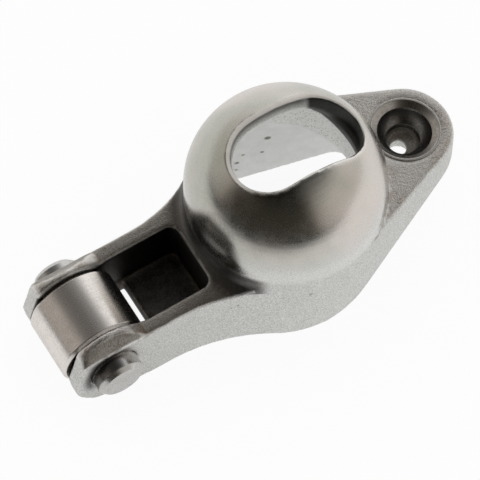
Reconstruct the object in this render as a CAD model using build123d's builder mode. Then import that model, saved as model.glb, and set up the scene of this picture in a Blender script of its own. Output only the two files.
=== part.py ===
from build123d import *
import math
import os

os.makedirs("parts", exist_ok=True)

# ---------------------------------------------------------------- dimensions
# millimetres; origin at the centre of the dome sphere, +X to the push-rod
# end, +Z out of the dome, the open rim below
PIVOT_LENGTH = 36.6      # dome centre to roller axis, along X
ROLLER_DROP = 11.3       # roller axis below the dome centre
DOME_R = 16.1            # outer sphere and the skirt under it
SEAT_R = 12.7            # spherical ball seat inside the dome
CAVITY_R = 11.6          # straight wall of the cavity below the seat
RIM_Z = -20.0            # open rim
RAIL_Z = -6.0            # top of the side rails
NOSE_HALF = 8.55         # half width across the ears
FLARE_R = 26.0           # concave flare from rails to dome, at the rail tops
RIM_HALF = 8.95          # at the rim the drafted sides are wider,
RIM_FLARE_R = 33.0       # flare more gently
RIM_FLARE_X = -10.2      # up to here
RIM_TURN = 30.8          # and through this angle, degrees
SKIRT_R = 2.3            # fillet between dome and rails

# push-rod end
CUP_X = 22.3             # cup centre
ARM_Z = -3.7             # arm face height at the cup
ARM_TILT = 5.5           # arm face slope, degrees, down toward the end
ARM_END_R = 7.8          # round end, on the cup centre
ARM_EDGE = 0.9           # edge rounding of the arm face
ARM_RISE = 0.30          # slope of the underside toward the arm end
RISE_X = -2.0            # where that slope starts
RISE_R = 14.0            # and how softly

CUP_MOUTH_R = 5.4        # chamfered mouth
CUP_BORE_R = 4.4
CUP_CHAMFER = 0.8        # its depth
CUP_BORE_Z = 1.2         # where the spherical seat starts
CUP_INNER_R = 2.75       # relief bore under the seat
CUP_INNER_Z = 3.15
CUP_FLOOR = 5.2
CUP_DRILL = 0.6          # conical corner at the floor
OIL_R = 1.25             # oil hole
OIL_SHIFT = -0.6         # its offset toward the dome
OIL_LAND = 0.9           # length of the small hole
OIL_RELIEF_R = 2.0       # wider bore under it

# stud slot through the dome
SLOT_HALF = 6.2          # half width at the top
SLOT_X0 = -3.0           # centres of its round ends
SLOT_X1 = 7.25
SLOT_STRAIGHT = 1.6      # straight part below the top of the dome
SLOT_TAPER = 5.0         # degrees, narrower inside
SLOT_LIP = 0.3           # bevelled lip

# pocket between the rails, with a floor web
POCKET_HALF = 5.95
POCKET_X0 = -29.9
POCKET_X1 = -17.2
POCKET_FLOOR = -16.0
POCKET_CORNER = 1.6
WEB_T = 2.6              # web thickness
WEB_EDGE_X = -27.05      # its front edge
RECESS_CORNER = 1.5      # recess under the web

# roller and its pin
ROLLER_R = 7.35
ROLLER_W = 10.85
ROLLER_BORE_PLAY = 0.03  # running fit, on the radius
ROLLER_EDGE = 0.45
SIDE_PLAY = 0.30         # roller face to ear
PIN_R = 4.0
PIN_LEN = 22.0
PIN_SHIFT = -0.3         # it stands out more on the -Y side
PIN_CHAMFER = 0.7

# ears: a crown about the pin, a steep front and a rounded toe, each point
# measured from the roller axis
EAR_CROWN_R = 8.0
EAR_BASE = 2.0           # the crown reaches this far below the axis
FRONT_TOP_X = 4.35
FRONT_TOP_Z = 8.9
FRONT_X = 6.95
FRONT_Z = 0.9
TOE_X = 6.6
TOE_Z = 4.2
TOE_R = 3.0
CHIN_X = 3.6
CHIN_Z = 7.4
CHIN_R = 2.5
HEEL_X = 4.8             # behind the axis
HEEL_LIFT = 0.35         # above the rim
HEEL_RUN = 3.2           # the rim starts this far behind the heel
HEEL_R = 6.0
BEVEL_IN = 1.7           # outer bevel of the crown: inward
BEVEL_RISE = 2.35        # and up

# cavity under the arm
TROUGH_X0 = -2.5         # beside the cavity
TROUGH_X1 = 15.3         # end wall
TROUGH_END_HALF = 7.0
TROUGH_ANGLE = 21.0      # side walls, degrees from X, tangent to the cavity
TROUGH_CORNER = 1.8
LEDGE_Z = -0.8           # its ceiling, sloping down toward the end
LEDGE_SLOPE = 0.30

AX = -PIVOT_LENGTH
AZ = -ROLLER_DROP
NOSE_X = AX - FRONT_X - HEEL_LIFT                 # just past the front
END_X = CUP_X + ARM_END_R + ARM_EDGE              # just past the arm end
REACH = 2 * PIVOT_LENGTH                          # longer than what it cuts
EAR_SLOT_HALF = ROLLER_W / 2 + SIDE_PLAY
SEAT_Z = math.sqrt(SEAT_R ** 2 - CAVITY_R ** 2)   # seat meets the straight wall
SLOT_TOP = DOME_R - SLOT_STRAIGHT

# ------------------------------------------------------------- plan outline
# one concave flare each side, tangent to the rail and to the dome, then a
# flank tangent to the dome and to the round arm end
flare_x = -math.sqrt((DOME_R + FLARE_R) ** 2 - (NOSE_HALF + FLARE_R) ** 2)
flare_y = NOSE_HALF + FLARE_R
shrink = DOME_R / (DOME_R + FLARE_R)
flare_end = (flare_x * shrink, flare_y * shrink)
flare_turn = math.atan2(-flare_x, flare_y)        # angle that the flare turns
flare_mid = (flare_x + FLARE_R * math.sin(flare_turn / 2), flare_y - FLARE_R * math.cos(flare_turn / 2))
flank = math.asin((DOME_R - ARM_END_R) / CUP_X)
flank_start = (DOME_R * math.sin(flank), DOME_R * math.cos(flank))
flank_end = (CUP_X + ARM_END_R * math.sin(flank), ARM_END_R * math.cos(flank))
dome_mid = (flank - flare_turn) / 2               # middle of the dome's arc, from Y
end_mid = (math.pi / 2 - flank) / 2

with BuildSketch() as outline:
    with BuildLine():
        Line((NOSE_X, 0), (NOSE_X, NOSE_HALF))
        Line((NOSE_X, NOSE_HALF), (flare_x, NOSE_HALF))
        ThreePointArc((flare_x, NOSE_HALF), flare_mid, flare_end)
        ThreePointArc(flare_end, (DOME_R * math.sin(dome_mid), DOME_R * math.cos(dome_mid)), flank_start)
        Line(flank_start, flank_end)
        ThreePointArc(flank_end, (CUP_X + ARM_END_R * math.cos(end_mid), ARM_END_R * math.sin(end_mid)),
                      (CUP_X + ARM_END_R, 0))
        Line((CUP_X + ARM_END_R, 0), (NOSE_X, 0))
    make_face()
    mirror(about=Plane.XZ)

# the same sides at the rim: a gentler flare, then a soft shoulder
rim_turn = math.radians(RIM_TURN)
rim_flare_start = (RIM_FLARE_X - RIM_FLARE_R * math.sin(rim_turn), RIM_HALF)
rim_flare_mid = (rim_flare_start[0] + RIM_FLARE_R * math.sin(rim_turn / 2),
                 RIM_HALF + RIM_FLARE_R * (1 - math.cos(rim_turn / 2)))
rim_flare_end = (RIM_FLARE_X, RIM_HALF + RIM_FLARE_R * (1 - math.cos(rim_turn)))

# side profile, X and Z
arm_slope = math.tan(math.radians(ARM_TILT))
front_top = (AX - FRONT_TOP_X, AZ + FRONT_TOP_Z)
front = (AX - FRONT_X, AZ - FRONT_Z)
toe = (AX - TOE_X, AZ - TOE_Z)
chin = (AX - CHIN_X, AZ - CHIN_Z)
heel = (AX + HEEL_X, RIM_Z + HEEL_LIFT)
rim_start = (AX + HEEL_X + HEEL_RUN, RIM_Z)
rise_end = (END_X, RIM_Z + (END_X - RISE_X) * ARM_RISE)
front_at_rail = (front_top[0] + (front[0] - front_top[0]) * (front_top[1] - RAIL_Z) / (front_top[1] - front[1]),
                 RAIL_Z)

# ---------------------------------------------------------------- the body
# rails and ears up to the rail tops, their sides drafted from the rim up
with BuildPart() as nose_blank:
    with BuildSketch(Plane.XY.offset(RIM_Z)):
        with BuildLine():
            Polyline((0, 0), (NOSE_X, 0), (NOSE_X, RIM_HALF), rim_flare_start)
            ThreePointArc(rim_flare_start, rim_flare_mid, rim_flare_end)
            Spline(rim_flare_end, (0, DOME_R), tangents=((math.cos(rim_turn), math.sin(rim_turn)), (1, 0)))
            Line((0, DOME_R), (0, 0))
        make_face()
    with BuildSketch(Plane.XY.offset(RAIL_Z)):
        with BuildLine():
            Polyline((0, 0), (NOSE_X, 0), (NOSE_X, NOSE_HALF), (flare_x, NOSE_HALF))
            ThreePointArc((flare_x, NOSE_HALF), flare_mid, flare_end)
            ThreePointArc(flare_end, (-DOME_R * math.sin(flare_turn / 2), DOME_R * math.cos(flare_turn / 2)),
                          (0, DOME_R))
            Line((0, DOME_R), (0, 0))
        make_face()
    loft(ruled=True)
    mirror(about=Plane.XZ)
    with BuildSketch(Plane.XZ):
        Polygon(front_at_rail, front, (front[0], RIM_Z), (0, RIM_Z), (0, RAIL_Z), align=None)
    extrude(amount=REACH, both=True, mode=Mode.INTERSECT)

# push-rod arm, with a sloping face and a rounded edge
with BuildPart() as arm_blank:
    add(outline.sketch)
    extrude(amount=REACH / 2, both=True)
    with BuildSketch(Plane.XZ):
        Polygon((0, RIM_Z), (0, ARM_Z + CUP_X * arm_slope),
                (END_X, ARM_Z - (END_X - CUP_X) * arm_slope), (END_X, RIM_Z), align=None)
    extrude(amount=REACH, both=True, mode=Mode.INTERSECT)
    arm_face = arm_blank.faces().sort_by(Axis.Z)[-1]
    fillet([e for e in arm_face.edges() if e.center().X > SLOT_LIP], ARM_EDGE)

# concave fillet between dome and rails, trimmed to the outline
with BuildPart() as skirt:
    with BuildSketch(Plane.XZ):
        with Locations((DOME_R, RAIL_Z)):
            Rectangle(SKIRT_R, SKIRT_R, align=Align.MIN)
        with Locations((DOME_R + SKIRT_R, RAIL_Z + SKIRT_R)):
            Circle(SKIRT_R, mode=Mode.SUBTRACT)
        with Locations((DOME_R, RAIL_Z)):
            Rectangle(SLOT_LIP, SKIRT_R, align=(Align.MAX, Align.MIN))
    revolve(axis=Axis.Z)
    with Locations((REACH / 2, 0, 0)):
        Box(REACH, REACH, REACH, mode=Mode.SUBTRACT)
    extrude(outline.sketch, amount=REACH, both=True, mode=Mode.INTERSECT)

# crown of the ears, turned about the roller axis, outer sides bevelled
with BuildPart() as crown:
    with Locations((AX, 0, AZ)):
        Cylinder(EAR_CROWN_R, 2 * NOSE_HALF, rotation=(90, 0, 0))
    with BuildSketch(Plane.XZ):
        Polygon(front_top, front, (AX - FRONT_X + EAR_BASE, AZ - EAR_BASE),
                (AX + FRONT_X, AZ - EAR_BASE), (AX + FRONT_TOP_Z, front_top[1]), align=None)
    extrude(amount=REACH, both=True, mode=Mode.INTERSECT)
    with BuildSketch(Plane.YZ):
        Polygon((NOSE_HALF, RAIL_Z), (NOSE_HALF - 2 * BEVEL_IN, RAIL_Z + 2 * BEVEL_RISE),
                (NOSE_HALF + BEVEL_IN, RAIL_Z + 2 * BEVEL_RISE), (NOSE_HALF + BEVEL_IN, RAIL_Z), align=None)
        mirror(about=Plane.YZ)
    extrude(amount=REACH, both=True, mode=Mode.SUBTRACT)

# long pocket that the cavity opens into, under the arm
with BuildPart() as trough:
    with BuildSketch(Plane.XY.offset(RIM_Z)):
        wall = math.radians(TROUGH_ANGLE)
        wall_y = CAVITY_R / math.cos(wall)            # at X = 0
        wall_start = (TROUGH_X0, wall_y - TROUGH_X0 * math.tan(wall))
        wall_end = (TROUGH_X1 - TROUGH_CORNER, wall_y - (TROUGH_X1 - TROUGH_CORNER) * math.tan(wall))
        Polygon((TROUGH_X0, 0), wall_start, wall_end, (TROUGH_X1, TROUGH_END_HALF - TROUGH_CORNER), (TROUGH_X1, 0),
                align=None)
        mirror(about=Plane.XZ)
    extrude(amount=-RIM_Z)
    fillet(trough.edges().filter_by(Axis.Z).filter_by(lambda e: e.center().X > CAVITY_R), TROUGH_CORNER)
    with BuildSketch(Plane.XZ):
        Polygon((0, LEDGE_Z), (REACH, LEDGE_Z - REACH * LEDGE_SLOPE), (REACH, 0), (0, 0), align=None)
    extrude(amount=REACH, both=True, mode=Mode.SUBTRACT)

# push-rod cup: chamfered mouth, spherical seat, relief bore, oil hole
seat_drop = ((CUP_BORE_R ** 2 + CUP_BORE_Z ** 2 - CUP_INNER_R ** 2 - CUP_INNER_Z ** 2)
             / (2 * (CUP_INNER_Z - CUP_BORE_Z)))     # seat centre above the face
seat_r = math.hypot(CUP_BORE_R, CUP_BORE_Z + seat_drop)
seat_mid = (math.atan2(CUP_BORE_Z + seat_drop, CUP_BORE_R) + math.atan2(CUP_INNER_Z + seat_drop, CUP_INNER_R)) / 2
with BuildPart() as cup:
    with BuildSketch(Plane.XZ):
        with BuildLine():
            Polyline((0, CUP_CHAMFER), (CUP_MOUTH_R, CUP_CHAMFER), (CUP_MOUTH_R, 0), (CUP_BORE_R, -CUP_CHAMFER),
                     (CUP_BORE_R, -CUP_BORE_Z))
            ThreePointArc((CUP_BORE_R, -CUP_BORE_Z),
                          (seat_r * math.cos(seat_mid), seat_drop - seat_r * math.sin(seat_mid)),
                          (CUP_INNER_R, -CUP_INNER_Z))
            Polyline((CUP_INNER_R, -CUP_INNER_Z), (CUP_INNER_R, CUP_DRILL - CUP_FLOOR),
                     (CUP_INNER_R - CUP_DRILL, -CUP_FLOOR), (0, -CUP_FLOOR), (0, CUP_CHAMFER))
        make_face()
    revolve(axis=Axis.Z)
    with Locations((OIL_SHIFT, 0, 0)):
        Cylinder(OIL_R, REACH / 2, align=(Align.CENTER, Align.CENTER, Align.MAX))
    with Locations((OIL_SHIFT, 0, -CUP_FLOOR - OIL_LAND)):
        Cylinder(OIL_RELIEF_R, REACH / 2, align=(Align.CENTER, Align.CENTER, Align.MAX))

with BuildPart() as rocker_body:
    add(nose_blank.part)
    add(arm_blank.part)
    with Locations((0, 0, RAIL_Z)):
        Cylinder(DOME_R, -RAIL_Z, align=(Align.CENTER, Align.CENTER, Align.MIN))
    Sphere(DOME_R)
    add(skirt.part)
    add(crown.part)
    # rounded toe and heel, level rim, then the rise toward the arm end
    with BuildSketch(Plane.XZ) as under:
        Polygon((AX - REACH / 2, front[1]), front, toe, chin, heel, rim_start, (RISE_X, RIM_Z), rise_end,
                (END_X, -REACH), (AX - REACH / 2, -REACH), align=None)
        for corner_x, corner_r in ((toe[0], TOE_R), (chin[0], CHIN_R), (heel[0], HEEL_R), (RISE_X, RISE_R)):
            fillet(under.vertices().sort_by(lambda v: abs(v.X - corner_x) + abs(v.Z - RIM_Z) / REACH)[0], corner_r)
    extrude(amount=REACH, both=True, mode=Mode.SUBTRACT)
    # pocket between the rails, its corners round at the dome end only
    with BuildSketch(Plane.XY.offset(POCKET_FLOOR)):
        with Locations((POCKET_X1, 0)):
            RectangleRounded(POCKET_X1 - POCKET_X0, 2 * POCKET_HALF, POCKET_CORNER, align=(Align.MAX, Align.CENTER))
        with Locations((POCKET_X0, 0)):
            Rectangle(2 * POCKET_CORNER, 2 * POCKET_HALF, align=(Align.MIN, Align.CENTER))
    extrude(amount=DOME_R, mode=Mode.SUBTRACT)
    # roller slot right through, its end set back under the pocket
    with BuildSketch(Plane.XZ):
        Polygon((NOSE_X - WEB_T, 0), (POCKET_X0, 0), (POCKET_X0, AZ - FRONT_Z), (WEB_EDGE_X, POCKET_FLOOR),
                (WEB_EDGE_X, RIM_Z - WEB_T), (NOSE_X - WEB_T, RIM_Z - WEB_T), align=None)
    extrude(amount=EAR_SLOT_HALF, both=True, mode=Mode.SUBTRACT)
    # recess under the floor web
    with BuildSketch(Plane.XY.offset(POCKET_FLOOR - WEB_T)):
        with Locations((POCKET_X1, 0)):
            RectangleRounded(POCKET_X1 - WEB_EDGE_X + 2 * RECESS_CORNER, 2 * EAR_SLOT_HALF, RECESS_CORNER,
                             align=(Align.MAX, Align.CENTER))
    extrude(amount=RIM_Z, mode=Mode.SUBTRACT)
    # ball seat above, straight wall below, long pocket under the arm
    with BuildSketch(Plane.XZ):
        with BuildLine():
            Polyline((0, -REACH), (CAVITY_R, -REACH), (CAVITY_R, SEAT_Z))
            half_seat = math.atan2(SEAT_Z, CAVITY_R) / 2 + math.pi / 4
            ThreePointArc((CAVITY_R, SEAT_Z), (SEAT_R * math.cos(half_seat), SEAT_R * math.sin(half_seat)), (0, SEAT_R))
            Line((0, SEAT_R), (0, -REACH))
        make_face()
    revolve(axis=Axis.Z, mode=Mode.SUBTRACT)
    add(trough.part, mode=Mode.SUBTRACT)
    # stud slot through the dome, tapering inward below its top
    with BuildSketch(Plane.XY.offset(SLOT_TOP)) as slot:
        with Locations(((SLOT_X0 + SLOT_X1) / 2, 0)):
            SlotCenterToCenter(SLOT_X1 - SLOT_X0, 2 * SLOT_HALF)
    extrude(amount=SEAT_Z - SLOT_TOP, taper=SLOT_TAPER, mode=Mode.SUBTRACT)
    extrude(slot.sketch, amount=2 * SLOT_STRAIGHT, mode=Mode.SUBTRACT)
    # bevelled lip, where the slot breaks the sphere
    on_sphere = [e for e in rocker_body.edges()
                 if all(abs((e @ t).length - DOME_R) < 0.02 for t in (0.15, 0.5, 0.85))]
    chamfer([e for e in on_sphere if (e @ 0.5).Z > DOME_R / 2 and abs((e @ 0.5).Y) < SLOT_HALF + SLOT_LIP], SLOT_LIP)
    # push-rod cup, square to the sloping face
    add(cup.part.moved(Location((CUP_X, 0, ARM_Z), (0, ARM_TILT, 0))), mode=Mode.SUBTRACT)
    # bore for the axle pin
    with Locations((AX, 0, AZ)):
        Cylinder(PIN_R, REACH, rotation=(90, 0, 0), mode=Mode.SUBTRACT)
rocker_body.part.label = "rocker_body"

# ------------------------------------------------------------------ roller
with BuildPart() as tip_roller:
    with Locations((AX, 0, AZ)):
        Cylinder(ROLLER_R, ROLLER_W, rotation=(90, 0, 0))
    chamfer(tip_roller.edges().filter_by(GeomType.CIRCLE), ROLLER_EDGE)
    with Locations((AX, 0, AZ)):
        Cylinder(PIN_R + ROLLER_BORE_PLAY, ROLLER_W, rotation=(90, 0, 0), mode=Mode.SUBTRACT)
tip_roller.part.label = "tip_roller"

# --------------------------------------------------------------------- pin
with BuildPart() as roller_pin:
    with Locations((AX, PIN_SHIFT, AZ)):
        Cylinder(PIN_R, PIN_LEN, rotation=(90, 0, 0))
    chamfer(roller_pin.edges().filter_by(GeomType.CIRCLE), PIN_CHAMFER)
roller_pin.part.label = "roller_pin"

export_step(rocker_body.part, "parts/rocker_body.step")
export_step(tip_roller.part, "parts/tip_roller.step")
export_step(roller_pin.part, "parts/roller_pin.step")
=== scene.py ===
import math

import bmesh
import bpy
from mathutils import Matrix, Vector
from mathutils.bvhtree import BVHTree
from mathutils.kdtree import KDTree


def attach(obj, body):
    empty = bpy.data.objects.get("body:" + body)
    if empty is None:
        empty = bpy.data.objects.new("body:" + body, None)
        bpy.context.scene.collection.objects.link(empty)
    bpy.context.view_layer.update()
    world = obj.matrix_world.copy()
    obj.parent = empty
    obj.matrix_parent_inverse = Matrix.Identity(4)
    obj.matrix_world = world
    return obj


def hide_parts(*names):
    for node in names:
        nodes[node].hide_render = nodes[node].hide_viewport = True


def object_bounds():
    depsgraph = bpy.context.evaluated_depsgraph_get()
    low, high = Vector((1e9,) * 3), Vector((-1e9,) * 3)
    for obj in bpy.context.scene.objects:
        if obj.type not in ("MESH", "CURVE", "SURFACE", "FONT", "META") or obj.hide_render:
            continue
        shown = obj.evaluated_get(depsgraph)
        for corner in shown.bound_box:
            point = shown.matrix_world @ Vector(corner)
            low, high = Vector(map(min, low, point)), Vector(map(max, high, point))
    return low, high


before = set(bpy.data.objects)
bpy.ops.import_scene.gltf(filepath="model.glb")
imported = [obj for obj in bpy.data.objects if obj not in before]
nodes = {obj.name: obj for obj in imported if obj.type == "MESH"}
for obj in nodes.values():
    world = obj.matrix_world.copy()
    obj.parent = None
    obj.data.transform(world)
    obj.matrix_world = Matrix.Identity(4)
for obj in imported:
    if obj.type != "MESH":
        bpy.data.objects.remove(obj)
cad_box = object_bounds()
scene = bpy.context.scene
scene.view_settings.view_transform = "Standard"

# ------------------------------------------------------------------ camera
# A long lens a little over half a metre away, above the roller end and to
# the near side, looking down on the arm as it lies on its rim.
LENS_MM = 280.49
SENSOR_MM = 36.0
EYE = Vector((-0.13842, -0.21760, 0.52615))      # metres
SIGHT_RIGHT = Vector((0.85427385, -0.51980897, -0.00384931))
SIGHT_UP = Vector((0.47151384, 0.77174386, 0.42671550))
NEAREST = 0.05                                   # metres, where sight starts
FARTHEST = 20.0                                  # and ends

camera_data = bpy.data.cameras.new("camera")
camera_data.sensor_width = SENSOR_MM
camera_data.lens = LENS_MM
camera_data.clip_start = NEAREST
camera_data.clip_end = FARTHEST
camera = bpy.data.objects.new("camera", camera_data)
scene.collection.objects.link(camera)
sight_back = SIGHT_RIGHT.cross(SIGHT_UP)
aim = Matrix((SIGHT_RIGHT, SIGHT_UP, sight_back)).transposed()
camera.matrix_world = Matrix.Translation(EYE) @ aim.to_4x4()
scene.camera = camera

# ------------------------------------------------------------------- floor
# A white paper sheet that the arm lies on. To the eye it stays white with a
# breath of shadow. Metal sees it lit, with a painted glow that is stronger
# within a few centimetres of the dome's centre, and past its end towards the
# open side of the tent the sheet is painted dark as shade.
FLOOR_HALF = 3.0                                 # metres
FLOOR_GAP = 0.00008                              # below the rim, to share no plane with it
OPEN_SIDE = (-0.788, -0.616, 0.0)                # direction of the tent's open side
SHEET_WHITE = 0.90
SHEET_PAINTED_SHADE = 0.05                                # past its end, painted shade
SHEET_END = (0.045, 0.16)                        # metres towards the open side
SEEN_GLOW = 0.92                                 # share of plain white to the eye
MIRRORED_REACH = (0.026, 0.045)                  # metres from the dome's centre
MIRRORED_PAINTED_GLOW = (0.62, 0.25)                     # share of plain white in metal, a painted glow, near the dome and farther out


def new_node(tree, kind, **settings):
    made = tree.nodes.new("ShaderNode" + kind)
    for name, value in settings.items():
        setattr(made, name, value)
    return made


def feed(tree, socket, value):
    """Give an input its value: another node's output, a colour, a vector or a number."""
    if isinstance(value, bpy.types.NodeSocket):
        tree.links.new(value, socket)
    elif isinstance(value, tuple) and len(value) == 3 and len(socket.default_value) == 4:
        socket.default_value = (*value, 1.0)
    else:
        socket.default_value = value


def math_node(tree, operation, first, second=0.0):
    made = new_node(tree, "Math", operation=operation)
    feed(tree, made.inputs[0], first)
    feed(tree, made.inputs[1], second)
    return made.outputs[0]


def vector_node(tree, operation, first, second=(0.0, 0.0, 0.0), output=0):
    made = new_node(tree, "VectorMath", operation=operation)
    feed(tree, made.inputs[0], first)
    feed(tree, made.inputs[1], second)
    return made.outputs[output]


def axes(tree, vector):
    made = new_node(tree, "SeparateXYZ")
    tree.links.new(vector, made.inputs[0])
    return made.outputs


def fade(tree, value, start, end, low=0.0, high=1.0):
    """Smooth step of value, from low at start to high at end."""
    made = new_node(tree, "MapRange", interpolation_type="SMOOTHSTEP")
    numbers = {"Value": value, "From Min": start, "From Max": end, "To Min": low, "To Max": high}
    for name, number in numbers.items():
        feed(tree, made.inputs[name], number)
    return made.outputs[0]


floor_mesh = bpy.data.meshes.new("floor")
sheet_shape = bmesh.new()
bmesh.ops.create_grid(sheet_shape, x_segments=1, y_segments=1, size=FLOOR_HALF)
bmesh.ops.translate(sheet_shape, verts=sheet_shape.verts, vec=(0.0, 0.0, cad_box[0].z - FLOOR_GAP))
sheet_shape.to_mesh(floor_mesh)
sheet_shape.free()
floor = bpy.data.objects.new("floor", floor_mesh)
scene.collection.objects.link(floor)

sheet = bpy.data.materials.new("white_sheet")
sheet.use_nodes = True
tree = sheet.node_tree
tree.nodes.clear()
place = new_node(tree, "TexCoord").outputs["Object"]
light_path = new_node(tree, "LightPath")
towards = vector_node(tree, "DOT_PRODUCT", place, OPEN_SIDE, "Value")
paper = new_node(tree, "BsdfDiffuse")
white = new_node(tree, "CombineColor")
for channel in white.inputs:
    tree.links.new(fade(tree, towards, *SHEET_END, SHEET_WHITE, SHEET_PAINTED_SHADE), channel)
tree.links.new(white.outputs[0], paper.inputs["Color"])
glow = new_node(tree, "Emission")
seen = math_node(tree, "MAXIMUM", light_path.outputs["Is Camera Ray"],
                 light_path.outputs["Is Transmission Ray"])
seen = math_node(tree, "MULTIPLY", seen, SEEN_GLOW)
reach = vector_node(tree, "LENGTH", place, output="Value")
mirrored = fade(tree, reach, *MIRRORED_REACH, *MIRRORED_PAINTED_GLOW)
mirrored = math_node(tree, "MINIMUM", mirrored, fade(tree, towards, *SHEET_END, MIRRORED_PAINTED_GLOW[0], 0.0))
mirrored = math_node(tree, "MULTIPLY", light_path.outputs["Is Glossy Ray"], mirrored)
both = new_node(tree, "MixShader")
tree.links.new(math_node(tree, "MAXIMUM", seen, mirrored), both.inputs[0])
tree.links.new(paper.outputs[0], both.inputs[1])
tree.links.new(glow.outputs[0], both.inputs[2])
end = new_node(tree, "OutputMaterial")
tree.links.new(both.outputs[0], end.inputs["Surface"])
floor_mesh.materials.append(sheet)

# ------------------------------------------------------------------- light
# A soft white tent, open and dark on the side where one stands to look, dim
# overhead, and brightest across from the open side, high up too. Matt
# surfaces stand in plain even light.
MATT_LIGHT = (0.95, 0.95, 0.95)
FAR_HALF = (-0.25, -0.70)                        # facing, from the near roof to the far roof
# brightness by the facing of a wall: -1 is across from the open side, 1 is the open side
WALLS = [(-1.0, 0.98), (-0.82, 0.84), (-0.55, (0.64, 0.615, 0.59)), (0.26, (0.55, 0.53, 0.50)),
         (0.50, (0.43, 0.40, 0.37)), (0.64, (0.11, 0.10, 0.085)), (0.78, (0.045, 0.04, 0.033))]
# share of it by height: 0 is level, 1 is straight overhead
NEAR_ROOF = [(0.0, 1.0), (0.48, 1.0), (0.62, 0.76), (0.76, 0.30), (0.94, 0.17), (1.0, 0.15)]
FAR_ROOF = [(0.0, 1.0), (0.66, 1.0), (0.76, 0.62), (0.86, 0.20), (1.0, 0.15)]


def ramp(tree, source, low, high, stops):
    """Colour ramp over source from low to high; stops are (place, grey or colour)."""
    spread = new_node(tree, "MapRange")
    feed(tree, spread.inputs["From Min"], low)
    feed(tree, spread.inputs["From Max"], high)
    tree.links.new(source, spread.inputs["Value"])
    made = new_node(tree, "ValToRGB")
    tree.links.new(spread.outputs[0], made.inputs[0])
    keys = made.color_ramp.elements
    while len(keys) < len(stops):
        keys.new(0.5)
    for key, (stop, value) in zip(keys, stops):
        key.position = (stop - low) / (high - low)
        key.color = (*value, 1.0) if isinstance(value, tuple) else (value, value, value, 1.0)
    return made.outputs[0]


def blend(tree, factor, first, second, kind="MIX"):
    made = new_node(tree, "Mix", data_type="RGBA", blend_type=kind)
    feed(tree, made.inputs["Factor"], factor)
    feed(tree, made.inputs["A"], first)
    feed(tree, made.inputs["B"], second)
    return made.outputs["Result"]


world = bpy.data.worlds.new("tent")
scene.world = world
world.use_nodes = True
tree = world.node_tree
tree.nodes.clear()
sight = new_node(tree, "TexCoord").outputs["Generated"]
level = vector_node(tree, "NORMALIZE", vector_node(tree, "MULTIPLY", sight, (1.0, 1.0, 0.0)))
facing = vector_node(tree, "DOT_PRODUCT", level, OPEN_SIDE, "Value")
height = axes(tree, sight)["Z"]
near_roof = ramp(tree, height, 0.0, 1.0, NEAR_ROOF)
far_roof = ramp(tree, height, 0.0, 1.0, FAR_ROOF)
roof = blend(tree, fade(tree, facing, *FAR_HALF), near_roof, far_roof)
tent = blend(tree, 1.0, ramp(tree, facing, -1.0, 1.0, WALLS), roof, "MULTIPLY")
light_path = new_node(tree, "LightPath")
shown = blend(tree, light_path.outputs["Is Diffuse Ray"], tent, MATT_LIGHT)
shown = blend(tree, light_path.outputs["Is Camera Ray"], shown, (1.0, 1.0, 1.0))
sky = new_node(tree, "Background")
tree.links.new(shown, sky.inputs["Color"])
end = new_node(tree, "OutputWorld")
tree.links.new(sky.outputs[0], end.inputs["Surface"])

# -------------------------------------------------------------------- body
# The arm is one steel casting, blasted all over and then polished lightly on
# the dome. Its skin follows the solid, with the corners as soft as a
# casting's, and carries a faint parting line and a few blow holes.
SKIN_STEP = 0.000340                             # metres, facets of the skin
FIRST_PASSES = 7                                 # smoothings before it is laid on the solid
LAST_PASSES = 2                                  # and after that
RIM_PASSES = 7                                   # more of them along the slot's rim
RIM_FLOOR = 0.003                                # metres, the slot's rim lies above this
SHARP_CORNER = 32                                # degrees
CORNER_STEP = 0.00008                            # metres, along a corner
CORNER_ROUND = (0.0003, 0.0008)                  # from a corner: rounded up to here, on the solid past here
RUB_REACH = 0.00070                              # metres, wear and painted highlight along the outer corners
INNER_CORNER_SHADE_REACH = 0.00090                            # metres, painted shade along the inner corners
# blow holes in the near side, and stains inside the cavity: place and radius, mm
BLOW_HOLES = (((-4.78, -15.45, -7.4), 0.34), ((-15.1, -10.4, -9.1), 0.22),
              ((-16.1, -10.05, -9.5), 0.18))
STAINS = (((3.5, 11.06, -6.15), 0.60), ((2.64, 11.41, -10.8), 0.38), ((-0.25, 12.52, -10.75), 0.30),
          ((-1.2, 12.88, -13.3), 0.42), ((-1.3, 12.94, -15.7), 0.30))
HOLE_SPREAD = 2.2                                # of the radius, out to a blow hole's brim
HOLE_DEPTH = 0.6                                 # of the radius
CUP_PLACE = (0.0223, 0.0, -0.0037)               # metres, the mouth of the push-rod cup
CUP_TILT = 5.5                                   # degrees
CUP_RECESS = 0.00012                             # metres, room for the turned cup
CUP_RECESS_RADIUS = 6.3                          # mm
CUP_RECESS_TOP = 0.5
CUP_RECESS_FLOOR = -4.6
CUP_RECESS_EASE = (0.5, 0.3)                     # over which it deepens, at its rim and floor

solid = bmesh.new()
solid.from_mesh(nodes["rocker_body"].data)
bmesh.ops.remove_doubles(solid, verts=solid.verts, dist=1e-6)
merged = bpy.data.meshes.new("merged_solid")
solid.to_mesh(merged)
solid_faces = BVHTree.FromBMesh(solid)


def corner_line(solid, convex):
    """Points along the solid's sharp outer corners (convex) or inner corners."""
    points = []
    for edge in solid.edges:
        if len(edge.link_faces) != 2 or edge.is_convex != convex:
            continue
        if edge.calc_face_angle() > math.radians(SHARP_CORNER):
            first, last = (vert.co for vert in edge.verts)
            steps = max(1, round((last - first).length / CORNER_STEP))
            points += [first.lerp(last, step / steps) for step in range(steps + 1)]
    line = KDTree(len(points))
    for number, point in enumerate(points):
        line.insert(point, number)
    line.balance()
    return line


outer_corners = corner_line(solid, convex=True)
inner_corners = corner_line(solid, convex=False)
solid.free()

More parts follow.
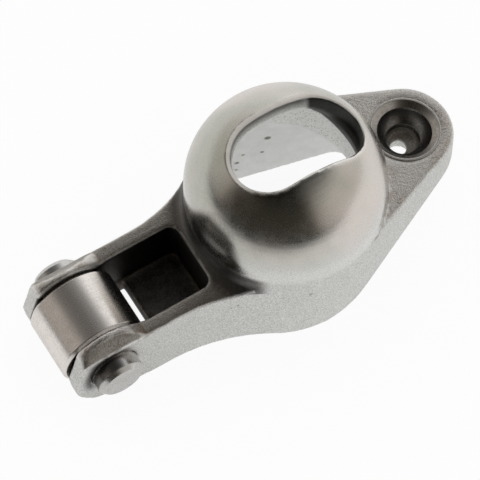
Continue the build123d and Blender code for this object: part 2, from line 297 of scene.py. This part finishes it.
body = bpy.data.objects.new("arm_casting", merged)
scene.collection.objects.link(body)
cover = body.modifiers.new("skin", "REMESH")
cover.mode = "VOXEL"
cover.voxel_size = SKIN_STEP
cover.use_smooth_shade = True
skin_mesh = bpy.data.meshes.new_from_object(body.evaluated_get(bpy.context.evaluated_depsgraph_get()))
body.modifiers.clear()
body.data = skin_mesh
bpy.data.meshes.remove(merged)


def smooth_skin(skin, verts, passes):
    for _ in range(passes):
        bmesh.ops.smooth_vert(skin, verts=verts, factor=0.5, use_axis_x=True, use_axis_y=True,
                              use_axis_z=True)


skin = bmesh.new()
skin.from_mesh(skin_mesh)
smooth_skin(skin, skin.verts, FIRST_PASSES)
rub = []
inner_corner_shade = []
for vert in skin.verts:
    outer_gap = outer_corners.find(vert.co)[2]
    inner_gap = inner_corners.find(vert.co)[2]
    rub.append(max(0.0, 1.0 - outer_gap / RUB_REACH))
    inner_corner_shade.append(max(0.0, 1.0 - inner_gap / INNER_CORNER_SHADE_REACH))
    clear = (min(outer_gap, inner_gap) - CORNER_ROUND[0]) / (CORNER_ROUND[1] - CORNER_ROUND[0])
    vert.co = vert.co.lerp(solid_faces.find_nearest(vert.co)[0], min(1.0, max(0.0, clear)))
smooth_skin(skin, skin.verts, LAST_PASSES)
slot_rim = [vert for vert, near in zip(skin.verts, rub) if near > 0.0 and vert.co.z > RIM_FLOOR]
smooth_skin(skin, slot_rim, RIM_PASSES)
for place, radius in BLOW_HOLES:
    mouth = Vector(place) / 1000
    for vert in skin.verts:
        near = (vert.co - mouth).length * 1000 / (HOLE_SPREAD * radius)
        if near < 1.0:
            vert.co -= vert.normal * (HOLE_DEPTH * radius / 1000 * (1.0 - near * near) ** 2)
into_cup = (Matrix.Translation(CUP_PLACE) @ Matrix.Rotation(math.radians(CUP_TILT), 4, "Y")).inverted()
for vert in skin.verts:
    local = into_cup @ vert.co * 1000
    from_rim = CUP_RECESS_RADIUS - math.hypot(local.x, local.y)
    if from_rim > 0.0 and CUP_RECESS_FLOOR < local.z < CUP_RECESS_TOP:
        from_floor = local.z - CUP_RECESS_FLOOR
        share = min(1.0, from_rim / CUP_RECESS_EASE[0], from_floor / CUP_RECESS_EASE[1])
        vert.co -= vert.normal * CUP_RECESS * share
skin.to_mesh(skin_mesh)
skin.free()
for name, values in (("rub", rub), ("inner_corner_shade", inner_corner_shade)):
    skin_mesh.attributes.new(name, "FLOAT", "POINT").data.foreach_set("value", values)
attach(body, "arm")
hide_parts("rocker_body")

# its finishes: blasted sides and faces, satin dome, painted light inside, painted shade and highlights,
# stains and wear
SIDE_LIGHT = (0.82, 0.82, 0.80)
SIDE_DARK = (0.53, 0.525, 0.505)
FACE_GREY = (0.50, 0.475, 0.445)
FACE_BROWN = (0.39, 0.325, 0.27)
FACE_GRIT = (0.74, 0.72, 0.69)
RAIL_SHADE_DARK = (0.13, 0.115, 0.095)
RAIL_SHADE_GREY = (0.30, 0.275, 0.24)
DOME_OLIVE = (0.54, 0.54, 0.485)
DOME_WARM = (0.67, 0.63, 0.58)
DOME_PINK = (0.74, 0.675, 0.625)
DOME_GREY = (0.70, 0.69, 0.66)
DOME_PAINTED_SHADE = (0.42, 0.42, 0.36)
SKIRT_DARK = (0.60, 0.60, 0.58)
SKIRT_LIGHT = (0.80, 0.80, 0.78)
INSIDE_PAINTED_LIGHT = (0.95, 0.955, 0.935)
INSIDE_GREY = (0.74, 0.74, 0.72)
CRESCENT_PAINTED_LIGHT = (0.96, 0.96, 0.94)
PIT_GREY = (0.20, 0.19, 0.175)
TROUGH_EDGE_PAINTED_HIGHLIGHT = (0.97, 0.97, 0.96)
SLOT_LIP_PAINTED_SHADE = (0.16, 0.15, 0.135)
SLOT_END_PAINTED_SHADE = (0.020, 0.019, 0.017)
RIM_GREY = (0.56, 0.525, 0.485)
POCKET_SHADE_DARK = (0.075, 0.071, 0.064)
POCKET_SHADE_GREY = (0.29, 0.275, 0.25)
POCKET_WALL_SHADE = (0.030, 0.028, 0.026)
SKIRT_PAINTED_SHADE = (0.105, 0.100, 0.092)
SHADE_GREY = (0.20, 0.195, 0.18)
CROWN_PALE = (0.86, 0.82, 0.78)
CROWN_BROWN = (0.46, 0.38, 0.32)
BEVEL_SHADE_BROWN = (0.15, 0.115, 0.08)
BEVEL_SHADE_GREY = (0.44, 0.42, 0.38)
PIN_ROOT_PAINTED_SHADOW = (0.050, 0.046, 0.040)
RUST_AND_CORNER_SHADE = (0.17, 0.115, 0.07)
WEAR_AND_PAINTED_HIGHLIGHT = (0.90, 0.88, 0.85)
CASTING_ROUGHNESS = (0.40, 0.50)
POLISH = 0.21                                    # off the roughness, on the dome
CAST_GRAIN = 0.00006                             # metres, depth of the blasted grain
PARTING_Z = -13.3                                # mm, the parting line
PIN_AXIS = (-36.6, 0.0, -11.3)                   # mm
TROUGH_FLARE = 0.384                             # the trough's sides draw in towards the cup
TROUGH_SLOPE = 0.30                              # and its roof falls
SLOT_END_X = 10.0                                # mm, past it the slot's dark end creeps down
SLOT_END_SLOPE = 1.1                             # by so much a mm
SHADE_PLACE = (-15.4, -3.2, 1.2)                 # mm, the spot of painted shade on the dome's foot by the pocket
MILLIMETRES = (1e3, 1e3, 1e3)

# Where each finish lies, as fades along a measure of the casting: from no
# finish at the first number to the full finish at the second. In mm, but for
# up and aslant, which are the facing of the surface, and rubbed.
PLACES = {
    "dome": (("from_centre", 15.55, 15.95), ("from_centre", 16.75, 16.25), ("z", -3.4, -1.2)),
    "seat": (("from_centre", 13.5, 13.0),),
    "cavity": (("from_stud", 12.5, 11.9), ("z", 5.4, 4.6)),
    "trough": (("trough_side", 13.2, 12.6), ("trough_roof", 0.0, -0.6), ("x", -3.0, -2.5),
               ("x", 15.9, 15.4)),
    "crescent": (("trough_roof", -0.7, 0.0), ("from_stud", 10.9, 11.3), ("x", 2.5, 5.5)),
    "trough_edge": (("trough_roof", 0.3, -0.5), ("trough_roof", -1.7, -1.0), ("from_stud", 11.0, 11.4),
                    ("from_stud", 13.2, 12.0), ("x", 0.0, 4.0)),
    "slot": (("from_centre", 12.9, 13.4), ("from_centre", 16.0, 15.5), ("z", 4.0, 4.8), ("width", 6.9, 6.4)),
    "slot_lip": (("from_centre", 13.6, 15.0), ("x", 8.0, 6.0)),
    "slot_end": (("slot_drop", 4.2, 4.9), ("x", 6.9, 8.0), ("from_centre", 11.4, 11.6),
                 ("from_centre", 15.95, 15.75), ("width", 7.4, 6.95)),
    "slot_rim": (("rubbed", 0.10, 0.45), ("z", 3.0, 5.0), ("from_centre", 14.9, 15.3), ("y", -5.0, -1.0)),
    "pocket": (("x", -16.9, -17.3), ("width", 6.2, 5.9), ("z", -6.05, -6.5)),
    "skirt_foot": (("from_stud", 15.6, 16.1), ("from_stud", 20.0, 17.6), ("z", -6.2, -5.9),
                   ("z", -1.6, -3.2), ("x", -10.2, -12.2)),
    "shade": (("from_shade", 6.2, 4.6),),
    "ear_bevel": (("x", -29.0, -29.6), ("up", 0.35, 0.45), ("aslant", 0.50, 0.65), ("width", 6.75, 7.1)),
    "ear_crown": (("x", -30.0, -30.6), ("z", -6.0, -5.8), ("up", 0.30, 0.45), ("aslant", 0.50, 0.35),
                  ("width", 5.0, 5.4)),
    "pin_root": (("from_pin", 6.2, 4.6), ("above_pin", -0.5, 2.5), ("aslant", 0.8, 0.95)),
    "level_face": (("up", 0.62, 0.90),),
}


def noise(tree, place, scale, detail=3.0, roughness=0.55):
    made = new_node(tree, "TexNoise")
    for name, value in (("Vector", place), ("Scale", scale), ("Detail", detail), ("Roughness", roughness)):
        feed(tree, made.inputs[name], value)
    return made.outputs["Fac"]


def all_of(tree, first, *others):
    for other in others:
        first = math_node(tree, "MULTIPLY", first, other)
    return first


def none_of(tree, first, *others):
    for other in others:
        first = math_node(tree, "MAXIMUM", first, other)
    return math_node(tree, "SUBTRACT", 1.0, first)


def coat(tree, colour, strength, place, over):
    """Colour with another one over it, of this strength where the place is 1."""
    return blend(tree, math_node(tree, "MULTIPLY", place, strength), colour, over)


def effect(name, inputs, outputs):
    """Empty node group, with its inputs as (name, kind, value) and outputs as (name, kind)."""
    made = bpy.data.node_groups.new(name, "ShaderNodeTree")
    for label, kind, value in inputs:
        made.interface.new_socket(name=label, in_out="INPUT", socket_type=kind).default_value = value
    for label, kind in outputs:
        made.interface.new_socket(name=label, in_out="OUTPUT", socket_type=kind)
    return made, made.nodes.new("NodeGroupInput"), made.nodes.new("NodeGroupOutput")


def with_effect(tree, group, **values):
    made = new_node(tree, "Group", node_tree=group)
    for name, value in values.items():
        feed(tree, made.inputs[name], value)
    return made.outputs


# cloudy tone at two sizes, and fine grains
mottle, given, result = effect(
    "mottle",
    [("Cloud", "NodeSocketFloat", 0.2), ("Grain", "NodeSocketFloat", 2.0)],
    [("Tone", "NodeSocketFloat"), ("Patch", "NodeSocketFloat"), ("Height", "NodeSocketFloat")])
here = vector_node(mottle, "MULTIPLY", new_node(mottle, "TexCoord").outputs["Object"], MILLIMETRES)
clouds = noise(mottle, here, given.outputs["Cloud"], 4.0, 0.6)
grains = noise(mottle, here, given.outputs["Grain"], 3.0, 0.65)
tone = math_node(mottle, "ADD", all_of(mottle, clouds, 0.45), all_of(mottle, grains, 0.55))
mottle.links.new(fade(mottle, tone, 0.34, 0.66), result.inputs["Tone"])
mottle.links.new(fade(mottle, clouds, 0.47, 0.62), result.inputs["Patch"])
mottle.links.new(grains, result.inputs["Height"])

cast_steel = bpy.data.materials.new("cast_steel")
cast_steel.use_nodes = True
tree = cast_steel.node_tree
steel = tree.nodes["Principled BSDF"]
coords = new_node(tree, "TexCoord")
here = vector_node(tree, "MULTIPLY", coords.outputs["Object"], MILLIMETRES)
x, y, z = axes(tree, here)
surface = axes(tree, coords.outputs["Normal"])
width = math_node(tree, "ABSOLUTE", y)
creep = math_node(tree, "MAXIMUM", math_node(tree, "SUBTRACT", x, SLOT_END_X), 0.0)
creep = all_of(tree, creep, SLOT_END_SLOPE)
off_pin = vector_node(tree, "MULTIPLY", vector_node(tree, "SUBTRACT", here, PIN_AXIS), (1.0, 0.0, 1.0))
flat = vector_node(tree, "MULTIPLY", here, (1.0, 1.0, 0.0))
measures = {
    "x": x,
    "y": y,
    "z": z,
    "width": width,
    "up": surface["Z"],
    "aslant": math_node(tree, "ABSOLUTE", surface["Y"]),
    "rubbed": new_node(tree, "Attribute", attribute_name="rub").outputs["Fac"],
    "from_centre": vector_node(tree, "LENGTH", here, output="Value"),
    "from_stud": vector_node(tree, "LENGTH", flat, output="Value"),
    "trough_side": math_node(tree, "ADD", width, all_of(tree, x, TROUGH_FLARE)),
    "trough_roof": math_node(tree, "ADD", z, all_of(tree, x, TROUGH_SLOPE)),
    "slot_drop": math_node(tree, "ADD", z, creep),
    "from_shade": vector_node(tree, "DISTANCE", here, SHADE_PLACE, "Value"),
    "from_pin": vector_node(tree, "LENGTH", off_pin, output="Value"),
    "above_pin": vector_node(tree, "DOT_PRODUCT", off_pin, (-0.7, 0.0, 0.7), "Value"),
}
at = {}
for name, fades in PLACES.items():
    at[name] = all_of(tree, *(fade(tree, measures[along], start, full) for along, start, full in fades))
inside = math_node(tree, "MAXIMUM", math_node(tree, "MAXIMUM", at["seat"], at["cavity"]), at["trough"])
at["slot_lip"] = all_of(tree, at["slot_lip"], at["slot"])
at["crescent"] = all_of(tree, at["crescent"], at["cavity"])
at["level_face"] = all_of(tree, at["level_face"], none_of(tree, at["dome"]))

coarse = with_effect(tree, mottle, Cloud=0.16, Grain=1.9)
fine = with_effect(tree, mottle, Cloud=0.45, Grain=4.3)
grit = fade(tree, fine["Height"], 0.36, 0.62)
colour = blend(tree, grit, SIDE_DARK, SIDE_LIGHT)
face = blend(tree, coarse["Patch"], FACE_GREY, FACE_BROWN)
face = coat(tree, face, 0.75, grit, FACE_GRIT)
# painted shade: the level faces darker towards the nose, over the rails
face = coat(tree, face, 0.62, fade(tree, x, -5.0, -9.0), blend(tree, grit, RAIL_SHADE_DARK, RAIL_SHADE_GREY))
colour = blend(tree, at["level_face"], colour, face)
dome = ramp(tree, noise(tree, here, 0.085, 2.0, 0.5), 0.0, 1.0,
            [(0.36, DOME_OLIVE), (0.50, DOME_WARM), (0.62, DOME_PINK)])
dome = coat(tree, dome, 0.35, coarse["Tone"], DOME_GREY)
# painted shade: the dome darker towards the nose
dome = coat(tree, dome, 0.35, fade(tree, x, 0.0, -9.0), DOME_PAINTED_SHADE)
dome = coat(tree, dome, 0.80, fade(tree, z, 6.0, 0.0), blend(tree, grit, SKIRT_DARK, SKIRT_LIGHT))
colour = blend(tree, at["dome"], colour, dome)
# painted light: the inside of the cavity, seat and trough near white
colour = blend(tree, inside, colour, coat(tree, INSIDE_PAINTED_LIGHT, 0.35, fine["Tone"], INSIDE_GREY))
# painted light: the crescent near white too
colour = blend(tree, at["crescent"], colour, CRESCENT_PAINTED_LIGHT)
pits = all_of(tree, at["crescent"], fade(tree, fine["Height"], 0.46, 0.36))
colour = coat(tree, colour, 0.75, pits, PIT_GREY)
# painted highlight along the trough's edge under the crescent
colour = coat(tree, colour, 0.90, at["trough_edge"], TROUGH_EDGE_PAINTED_HIGHLIGHT)
# painted shade on the upper walls and lip of the slot
colour = coat(tree, colour, 0.72, at["slot_lip"], SLOT_LIP_PAINTED_SHADE)
# painted shade: the far end of the slot near black
colour = coat(tree, colour, 0.98, at["slot_end"], SLOT_END_PAINTED_SHADE)
# painted shade: the pocket dark, its walls near black
colour = coat(tree, colour, 0.94, at["pocket"], blend(tree, fine["Tone"], POCKET_SHADE_DARK, POCKET_SHADE_GREY))
pocket_walls = all_of(tree, at["pocket"], fade(tree, measures["up"], 0.6, 0.3))
colour = coat(tree, colour, 0.88, pocket_walls, POCKET_WALL_SHADE)
# painted shade: the skirt's foot by the pocket near black
colour = coat(tree, colour, 0.88, at["skirt_foot"], SKIRT_PAINTED_SHADE)
# painted shade: a dark spot on the dome's foot by the pocket
colour = coat(tree, colour, 0.82, at["shade"], SHADE_GREY)
# painted shadow on the ear faces round the pin, above it
colour = coat(tree, colour, 0.84, at["pin_root"], PIN_ROOT_PAINTED_SHADOW)
colour = coat(tree, colour, 0.80, at["ear_crown"], blend(tree, fine["Patch"], CROWN_PALE, CROWN_BROWN))
# painted shade on the ears' chamfer facets, picked by their facing
colour = coat(tree, colour, 0.85, at["ear_bevel"], blend(tree, fine["Tone"], BEVEL_SHADE_BROWN, BEVEL_SHADE_GREY))

# painted shade in the inner corners, wear and painted highlight on the outer ones, and spots in the stains
# and holes
spots = 0.0
for place, radius in STAINS + BLOW_HOLES:
    away = vector_node(tree, "DISTANCE", here, place, "Value")
    away = math_node(tree, "ADD", away, all_of(tree, fine["Height"], -0.9 * radius))
    spots = math_node(tree, "MAXIMUM", spots, fade(tree, away, 0.75 * radius, 0.10 * radius))
uneven = fade(tree, noise(tree, here, 0.55), 0.38, 0.58)
corner_shade = new_node(tree, "Attribute", attribute_name="inner_corner_shade").outputs["Fac"]
corner_shade = all_of(tree, corner_shade, uneven, none_of(tree, inside, at["slot"]))
wear_and_highlight = fade(tree, measures["rubbed"], 0.25, 0.85)
wear_and_highlight = all_of(tree, wear_and_highlight, uneven, none_of(tree, at["pocket"], at["slot_end"]))
# painted shade in the inner corners
colour = coat(tree, colour, 0.70, corner_shade, RUST_AND_CORNER_SHADE)
# wear and painted highlight along the outer corners
colour = coat(tree, colour, 0.80, wear_and_highlight, WEAR_AND_PAINTED_HIGHLIGHT)
colour = coat(tree, colour, 0.92, at["slot_rim"], RIM_GREY)
colour = coat(tree, colour, 0.45, spots, RUST_AND_CORNER_SHADE)
tree.links.new(colour, steel.inputs["Base Color"])

# dull in the grain, smoother on the dome and a little on the level faces
shine = fade(tree, noise(tree, here, 0.16, 3.0, 0.6), 0.42, 0.66, -POLISH, 0.05 - POLISH)
shine = all_of(tree, at["dome"], shine)
low, high = CASTING_ROUGHNESS
roughness = math_node(tree, "ADD", low, all_of(tree, fine["Tone"], high - low))
roughness = math_node(tree, "ADD", roughness, shine)
roughness = math_node(tree, "SUBTRACT", roughness, all_of(tree, at["level_face"], 0.05))
roughness = math_node(tree, "ADD", roughness, all_of(tree, spots, 0.3))
tree.links.new(roughness, steel.inputs["Roughness"])
metal = math_node(tree, "SUBTRACT", 1.0, all_of(tree, inside, 0.25))
metal = math_node(tree, "SUBTRACT", metal, all_of(tree, spots, 0.3))
metal = math_node(tree, "SUBTRACT", metal, all_of(tree, at["slot_rim"], 0.85))
tree.links.new(metal, steel.inputs["Metallic"])

# grain, deep on the level faces and almost polished off the dome, and the parting line
seam = math_node(tree, "ABSOLUTE", math_node(tree, "SUBTRACT", z, PARTING_Z))
seam = all_of(tree, fade(tree, seam, 0.22, 0.02), fade(tree, measures["up"], 0.5, 0.3),
              fade(tree, noise(tree, here, 0.5), 0.40, 0.60))
depth = math_node(tree, "ADD", 0.80, all_of(tree, at["level_face"], 0.9))
depth = math_node(tree, "SUBTRACT", depth, all_of(tree, at["dome"], 0.77))
relief = all_of(tree, math_node(tree, "ADD", coarse["Height"], fine["Height"]), depth)
relief = math_node(tree, "ADD", relief, all_of(tree, seam, 0.35))


def dent(tree, shader, relief, distance, normal=None):
    """Bump of this depth in metres, over the given normal, on the shader."""
    bump = new_node(tree, "Bump")
    feed(tree, bump.inputs["Distance"], distance)
    feed(tree, bump.inputs["Strength"], 1.0)
    tree.links.new(relief, bump.inputs["Height"])
    if normal is not None:
        tree.links.new(normal, bump.inputs["Normal"])
    tree.links.new(bump.outputs[0], shader.inputs["Normal"])


dent(tree, steel, relief, CAST_GRAIN)
skin_mesh.materials.clear()
skin_mesh.materials.append(cast_steel)

# --------------------------------------------------------------------- cup
# The push-rod cup is turned into the face of the arm: a chamfered mouth, a
# short bore, a spherical seat and a relief bore down to the oil hole.
MOUTH = 5.40                                     # radii and depths, mm
LAND = 0.36                                      # faced ring round the mouth
LAND_HEIGHT = 0.006                              # proud of the face
BORE = 4.40
BORE_DEPTH = 0.80
SEAT_CENTRE = 0.85                               # above the face
SEAT_RADIUS = 4.854
SEAT_TOP = 2.05                                  # below its centre, where the bore ends
SEAT_FOOT = 4.00                                 # below its centre, where the relief starts
RELIEF = 2.75
RELIEF_DEPTH = 4.55
WALL = 0.34                                      # of the turned skin
LIP = 0.20                                       # its thickness under the mouth
SEAT_STEPS = 10
TURN_STEPS = 96
CREASE = 30                                      # degrees
CUP_BRIGHT = (0.52, 0.50, 0.47)                  # chamfer and short bore
CUP_GREY = (0.36, 0.33, 0.30)
SEAT_SHADE_GREY = (0.26, 0.25, 0.24)
SEAT_SHADE_DARK = (0.16, 0.155, 0.145)
CUP_EDGE_HIGHLIGHT = (0.86, 0.85, 0.82)
CUP_ROUGHNESS = (0.36, 0.26)
CUP_CORNER = 0.00018                             # metres, corners rounded in the light
TURNED_GRAIN = 0.00001                           # metres, depth of the turning marks

top_angle = math.atan2(SEAT_TOP, BORE)
foot_angle = math.atan2(SEAT_FOOT, RELIEF)
seat_arc = []
for step in range(SEAT_STEPS + 1):
    angle = top_angle + step / SEAT_STEPS * (foot_angle - top_angle)
    seat_arc.append((math.cos(angle), math.sin(angle)))
seat_back = SEAT_RADIUS + WALL
section = [(MOUTH + LAND, LAND_HEIGHT), (MOUTH, LAND_HEIGHT), (BORE, -BORE_DEPTH)]
section += [(SEAT_RADIUS * out, SEAT_CENTRE - SEAT_RADIUS * down) for out, down in seat_arc]
section += [(RELIEF, -RELIEF_DEPTH), (RELIEF + WALL, -RELIEF_DEPTH)]
section += [(seat_back * out, SEAT_CENTRE - seat_back * down) for out, down in reversed(seat_arc)]
section += [(BORE + WALL, -BORE_DEPTH - LIP), (MOUTH + LAND, -LIP)]
turned = bmesh.new()
ring = [turned.verts.new((radius / 1000, 0.0, rise / 1000)) for radius, rise in section]
outline = [turned.edges.new(pair) for pair in zip(ring, ring[1:] + ring[:1])]
bmesh.ops.spin(turned, geom=ring + outline, cent=(0.0, 0.0, 0.0), axis=(0.0, 0.0, 1.0), angle=math.tau,
               steps=TURN_STEPS, use_merge=True, use_duplicate=False)
bmesh.ops.remove_doubles(turned, verts=turned.verts, dist=1e-7)
bmesh.ops.recalc_face_normals(turned, faces=turned.faces)
tilt = Matrix.Rotation(math.radians(CUP_TILT), 3, "Y")
bmesh.ops.rotate(turned, verts=turned.verts, cent=(0.0, 0.0, 0.0), matrix=tilt)
bmesh.ops.translate(turned, verts=turned.verts, vec=CUP_PLACE)
for face in turned.faces:
    face.smooth = True
cup_mesh = bpy.data.meshes.new("push_rod_cup")
turned.to_mesh(cup_mesh)
turned.free()
cup_mesh.set_sharp_from_angle(angle=math.radians(CREASE))
cup = bpy.data.objects.new("push_rod_cup", cup_mesh)
scene.collection.objects.link(cup)
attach(cup, "arm")

# corners of machined pieces, rounded in the light, and bright wear with a painted highlight along them
worn_and_highlit_edges, given, result = effect(
    "worn_and_highlit_edges",
    [("Radius", "NodeSocketFloat", 0.0002)],
    [("Normal", "NodeSocketVector"), ("WearAndHighlight", "NodeSocketFloat")])
corner = new_node(worn_and_highlit_edges, "Bevel", samples=6)
worn_and_highlit_edges.links.new(given.outputs["Radius"], corner.inputs["Radius"])
true_normal = new_node(worn_and_highlit_edges, "NewGeometry").outputs["Normal"]
bend = vector_node(worn_and_highlit_edges, "DOT_PRODUCT", corner.outputs[0], true_normal, "Value")
worn_and_highlit_edges.links.new(corner.outputs[0], result.inputs["Normal"])
worn_and_highlit_edges.links.new(fade(worn_and_highlit_edges, bend, 0.992, 0.90), result.inputs["WearAndHighlight"])

turned_steel = bpy.data.materials.new("turned_steel")
turned_steel.use_nodes = True
tree = turned_steel.node_tree
metal = tree.nodes["Principled BSDF"]
metal.inputs["Metallic"].default_value = 1.0
here = vector_node(tree, "SUBTRACT", new_node(tree, "TexCoord").outputs["Object"], CUP_PLACE)
here = vector_node(tree, "MULTIPLY", here, MILLIMETRES)
x, y, z = axes(tree, here)
rise = math_node(tree, "ADD", z, all_of(tree, x, math.tan(math.radians(CUP_TILT))))
radius = vector_node(tree, "LENGTH", vector_node(tree, "MULTIPLY", here, (1.0, 1.0, 0.0)), output="Value")
turning = new_node(tree, "CombineXYZ")
tree.links.new(radius, turning.inputs["X"])
tree.links.new(rise, turning.inputs["Y"])
specks = with_effect(tree, mottle, Cloud=0.5, Grain=3.0)
edge = with_effect(tree, worn_and_highlit_edges, Radius=CUP_CORNER)
# painted shade: the seat darker than the mouth and short bore
colour = blend(tree, fade(tree, rise, -0.95, -0.70), blend(tree, specks["Tone"], SEAT_SHADE_DARK, SEAT_SHADE_GREY),
               blend(tree, specks["Tone"], CUP_GREY, CUP_BRIGHT))
# wear and painted highlight along the cup's corners
colour = blend(tree, edge["WearAndHighlight"], colour, CUP_EDGE_HIGHLIGHT)
tree.links.new(colour, metal.inputs["Base Color"])
tree.links.new(fade(tree, specks["Tone"], 0.0, 1.0, *CUP_ROUGHNESS), metal.inputs["Roughness"])
dent(tree, metal, noise(tree, turning.outputs[0], 6.0, 2.0), TURNED_GRAIN, edge["Normal"])
cup_mesh.materials.append(turned_steel)

# ------------------------------------------------------------------ roller
# The roller is hardened steel, ground round: fine rings run about it, and
# its edges are broken.
ROLLER_STEEL = (0.88, 0.83, 0.785)
ROLLER_DULL = (0.76, 0.71, 0.665)
ROLLER_ROUGHNESS = 0.24
ROLLER_RINGS = (0.25, 9.0, 0.25)                 # rings per mm, close together along the axis
GROUND_EDGE_HIGHLIGHT = (0.88, 0.87, 0.85)
GROUND_CORNER = 0.00016                          # metres, corners rounded in the light
GROUND_GRAIN = 0.000006                          # metres, depth of the grinding marks


def ground_metal(name, bright, dull, rings, roughness):
    """Steel with fine tool marks, spaced by rings along each axis, and bright edges of wear and painted
    highlight.
    """
    made = bpy.data.materials.new(name)
    made.use_nodes = True
    tree = made.node_tree
    metal = tree.nodes["Principled BSDF"]
    metal.inputs["Metallic"].default_value = 1.0
    here = vector_node(tree, "MULTIPLY", new_node(tree, "TexCoord").outputs["Object"], MILLIMETRES)
    marks = noise(tree, vector_node(tree, "MULTIPLY", here, rings), 1.0, 4.0, 0.7)
    specks = with_effect(tree, mottle, Cloud=0.35, Grain=3.0)
    edge = with_effect(tree, worn_and_highlit_edges, Radius=GROUND_CORNER)
    tone = math_node(tree, "ADD", all_of(tree, marks, 0.7), all_of(tree, specks["Tone"], 0.3))
    colour = blend(tree, fade(tree, tone, 0.30, 0.70), dull, bright)
    # wear and painted highlight along the edges
    colour = coat(tree, colour, 0.6, edge["WearAndHighlight"], GROUND_EDGE_HIGHLIGHT)
    tree.links.new(colour, metal.inputs["Base Color"])
    tree.links.new(fade(tree, tone, 0.2, 0.8, roughness + 0.06, roughness - 0.04), metal.inputs["Roughness"])
    dent(tree, metal, marks, GROUND_GRAIN, edge["Normal"])
    return made


ground_steel = ground_metal("ground_steel", ROLLER_STEEL, ROLLER_DULL, ROLLER_RINGS, ROLLER_ROUGHNESS)
for slot in nodes["tip_roller"].material_slots:
    slot.material = ground_steel

# --------------------------------------------------------------------- pin
# The axle pin is pressed through both ears. Its ends are faced and
# chamfered, and stand a little proud. Its side is painted dark as shade
# where the near end comes out of the ear.
PIN_STEEL = (0.65, 0.64, 0.625)
PIN_DULL = (0.54, 0.525, 0.505)
PIN_ROUGHNESS = 0.26
PIN_MARKS = (3.0, 0.6, 3.0)                      # marks per mm, along the axis
PIN_PAINTED_SHADE = (0.045, 0.040, 0.034)
PIN_SHADE_OUT = (-10.75, -10.35)                       # mm, from the faced end to the ear
PIN_SHADE_IN = (0.0, -5.0)                             # mm, only on the near half
PIN_SHADE_SIDE = (-0.95, 0.0, 0.3)                     # towards the side painted dark
PIN_SHADE_ROUND = (-0.8, 1.6)                          # mm towards that side

pin_steel = ground_metal("pin_steel", PIN_STEEL, PIN_DULL, PIN_MARKS, PIN_ROUGHNESS)
tree = pin_steel.node_tree
metal = tree.nodes["Principled BSDF"]
clean = metal.inputs["Base Color"].links[0].from_socket
here = vector_node(tree, "MULTIPLY", new_node(tree, "TexCoord").outputs["Object"], MILLIMETRES)
x, y, z = axes(tree, here)
side = vector_node(tree, "SUBTRACT", here, PIN_AXIS)
side = vector_node(tree, "DOT_PRODUCT", side, PIN_SHADE_SIDE, "Value")
pin_shade = all_of(tree, fade(tree, y, *PIN_SHADE_OUT), fade(tree, y, *PIN_SHADE_IN), fade(tree, side, *PIN_SHADE_ROUND))
# painted shade on the pin's side where it leaves the near ear
tree.links.new(coat(tree, clean, 0.78, pin_shade, PIN_PAINTED_SHADE), metal.inputs["Base Color"])
for slot in nodes["roller_pin"].material_slots:
    slot.material = pin_steel
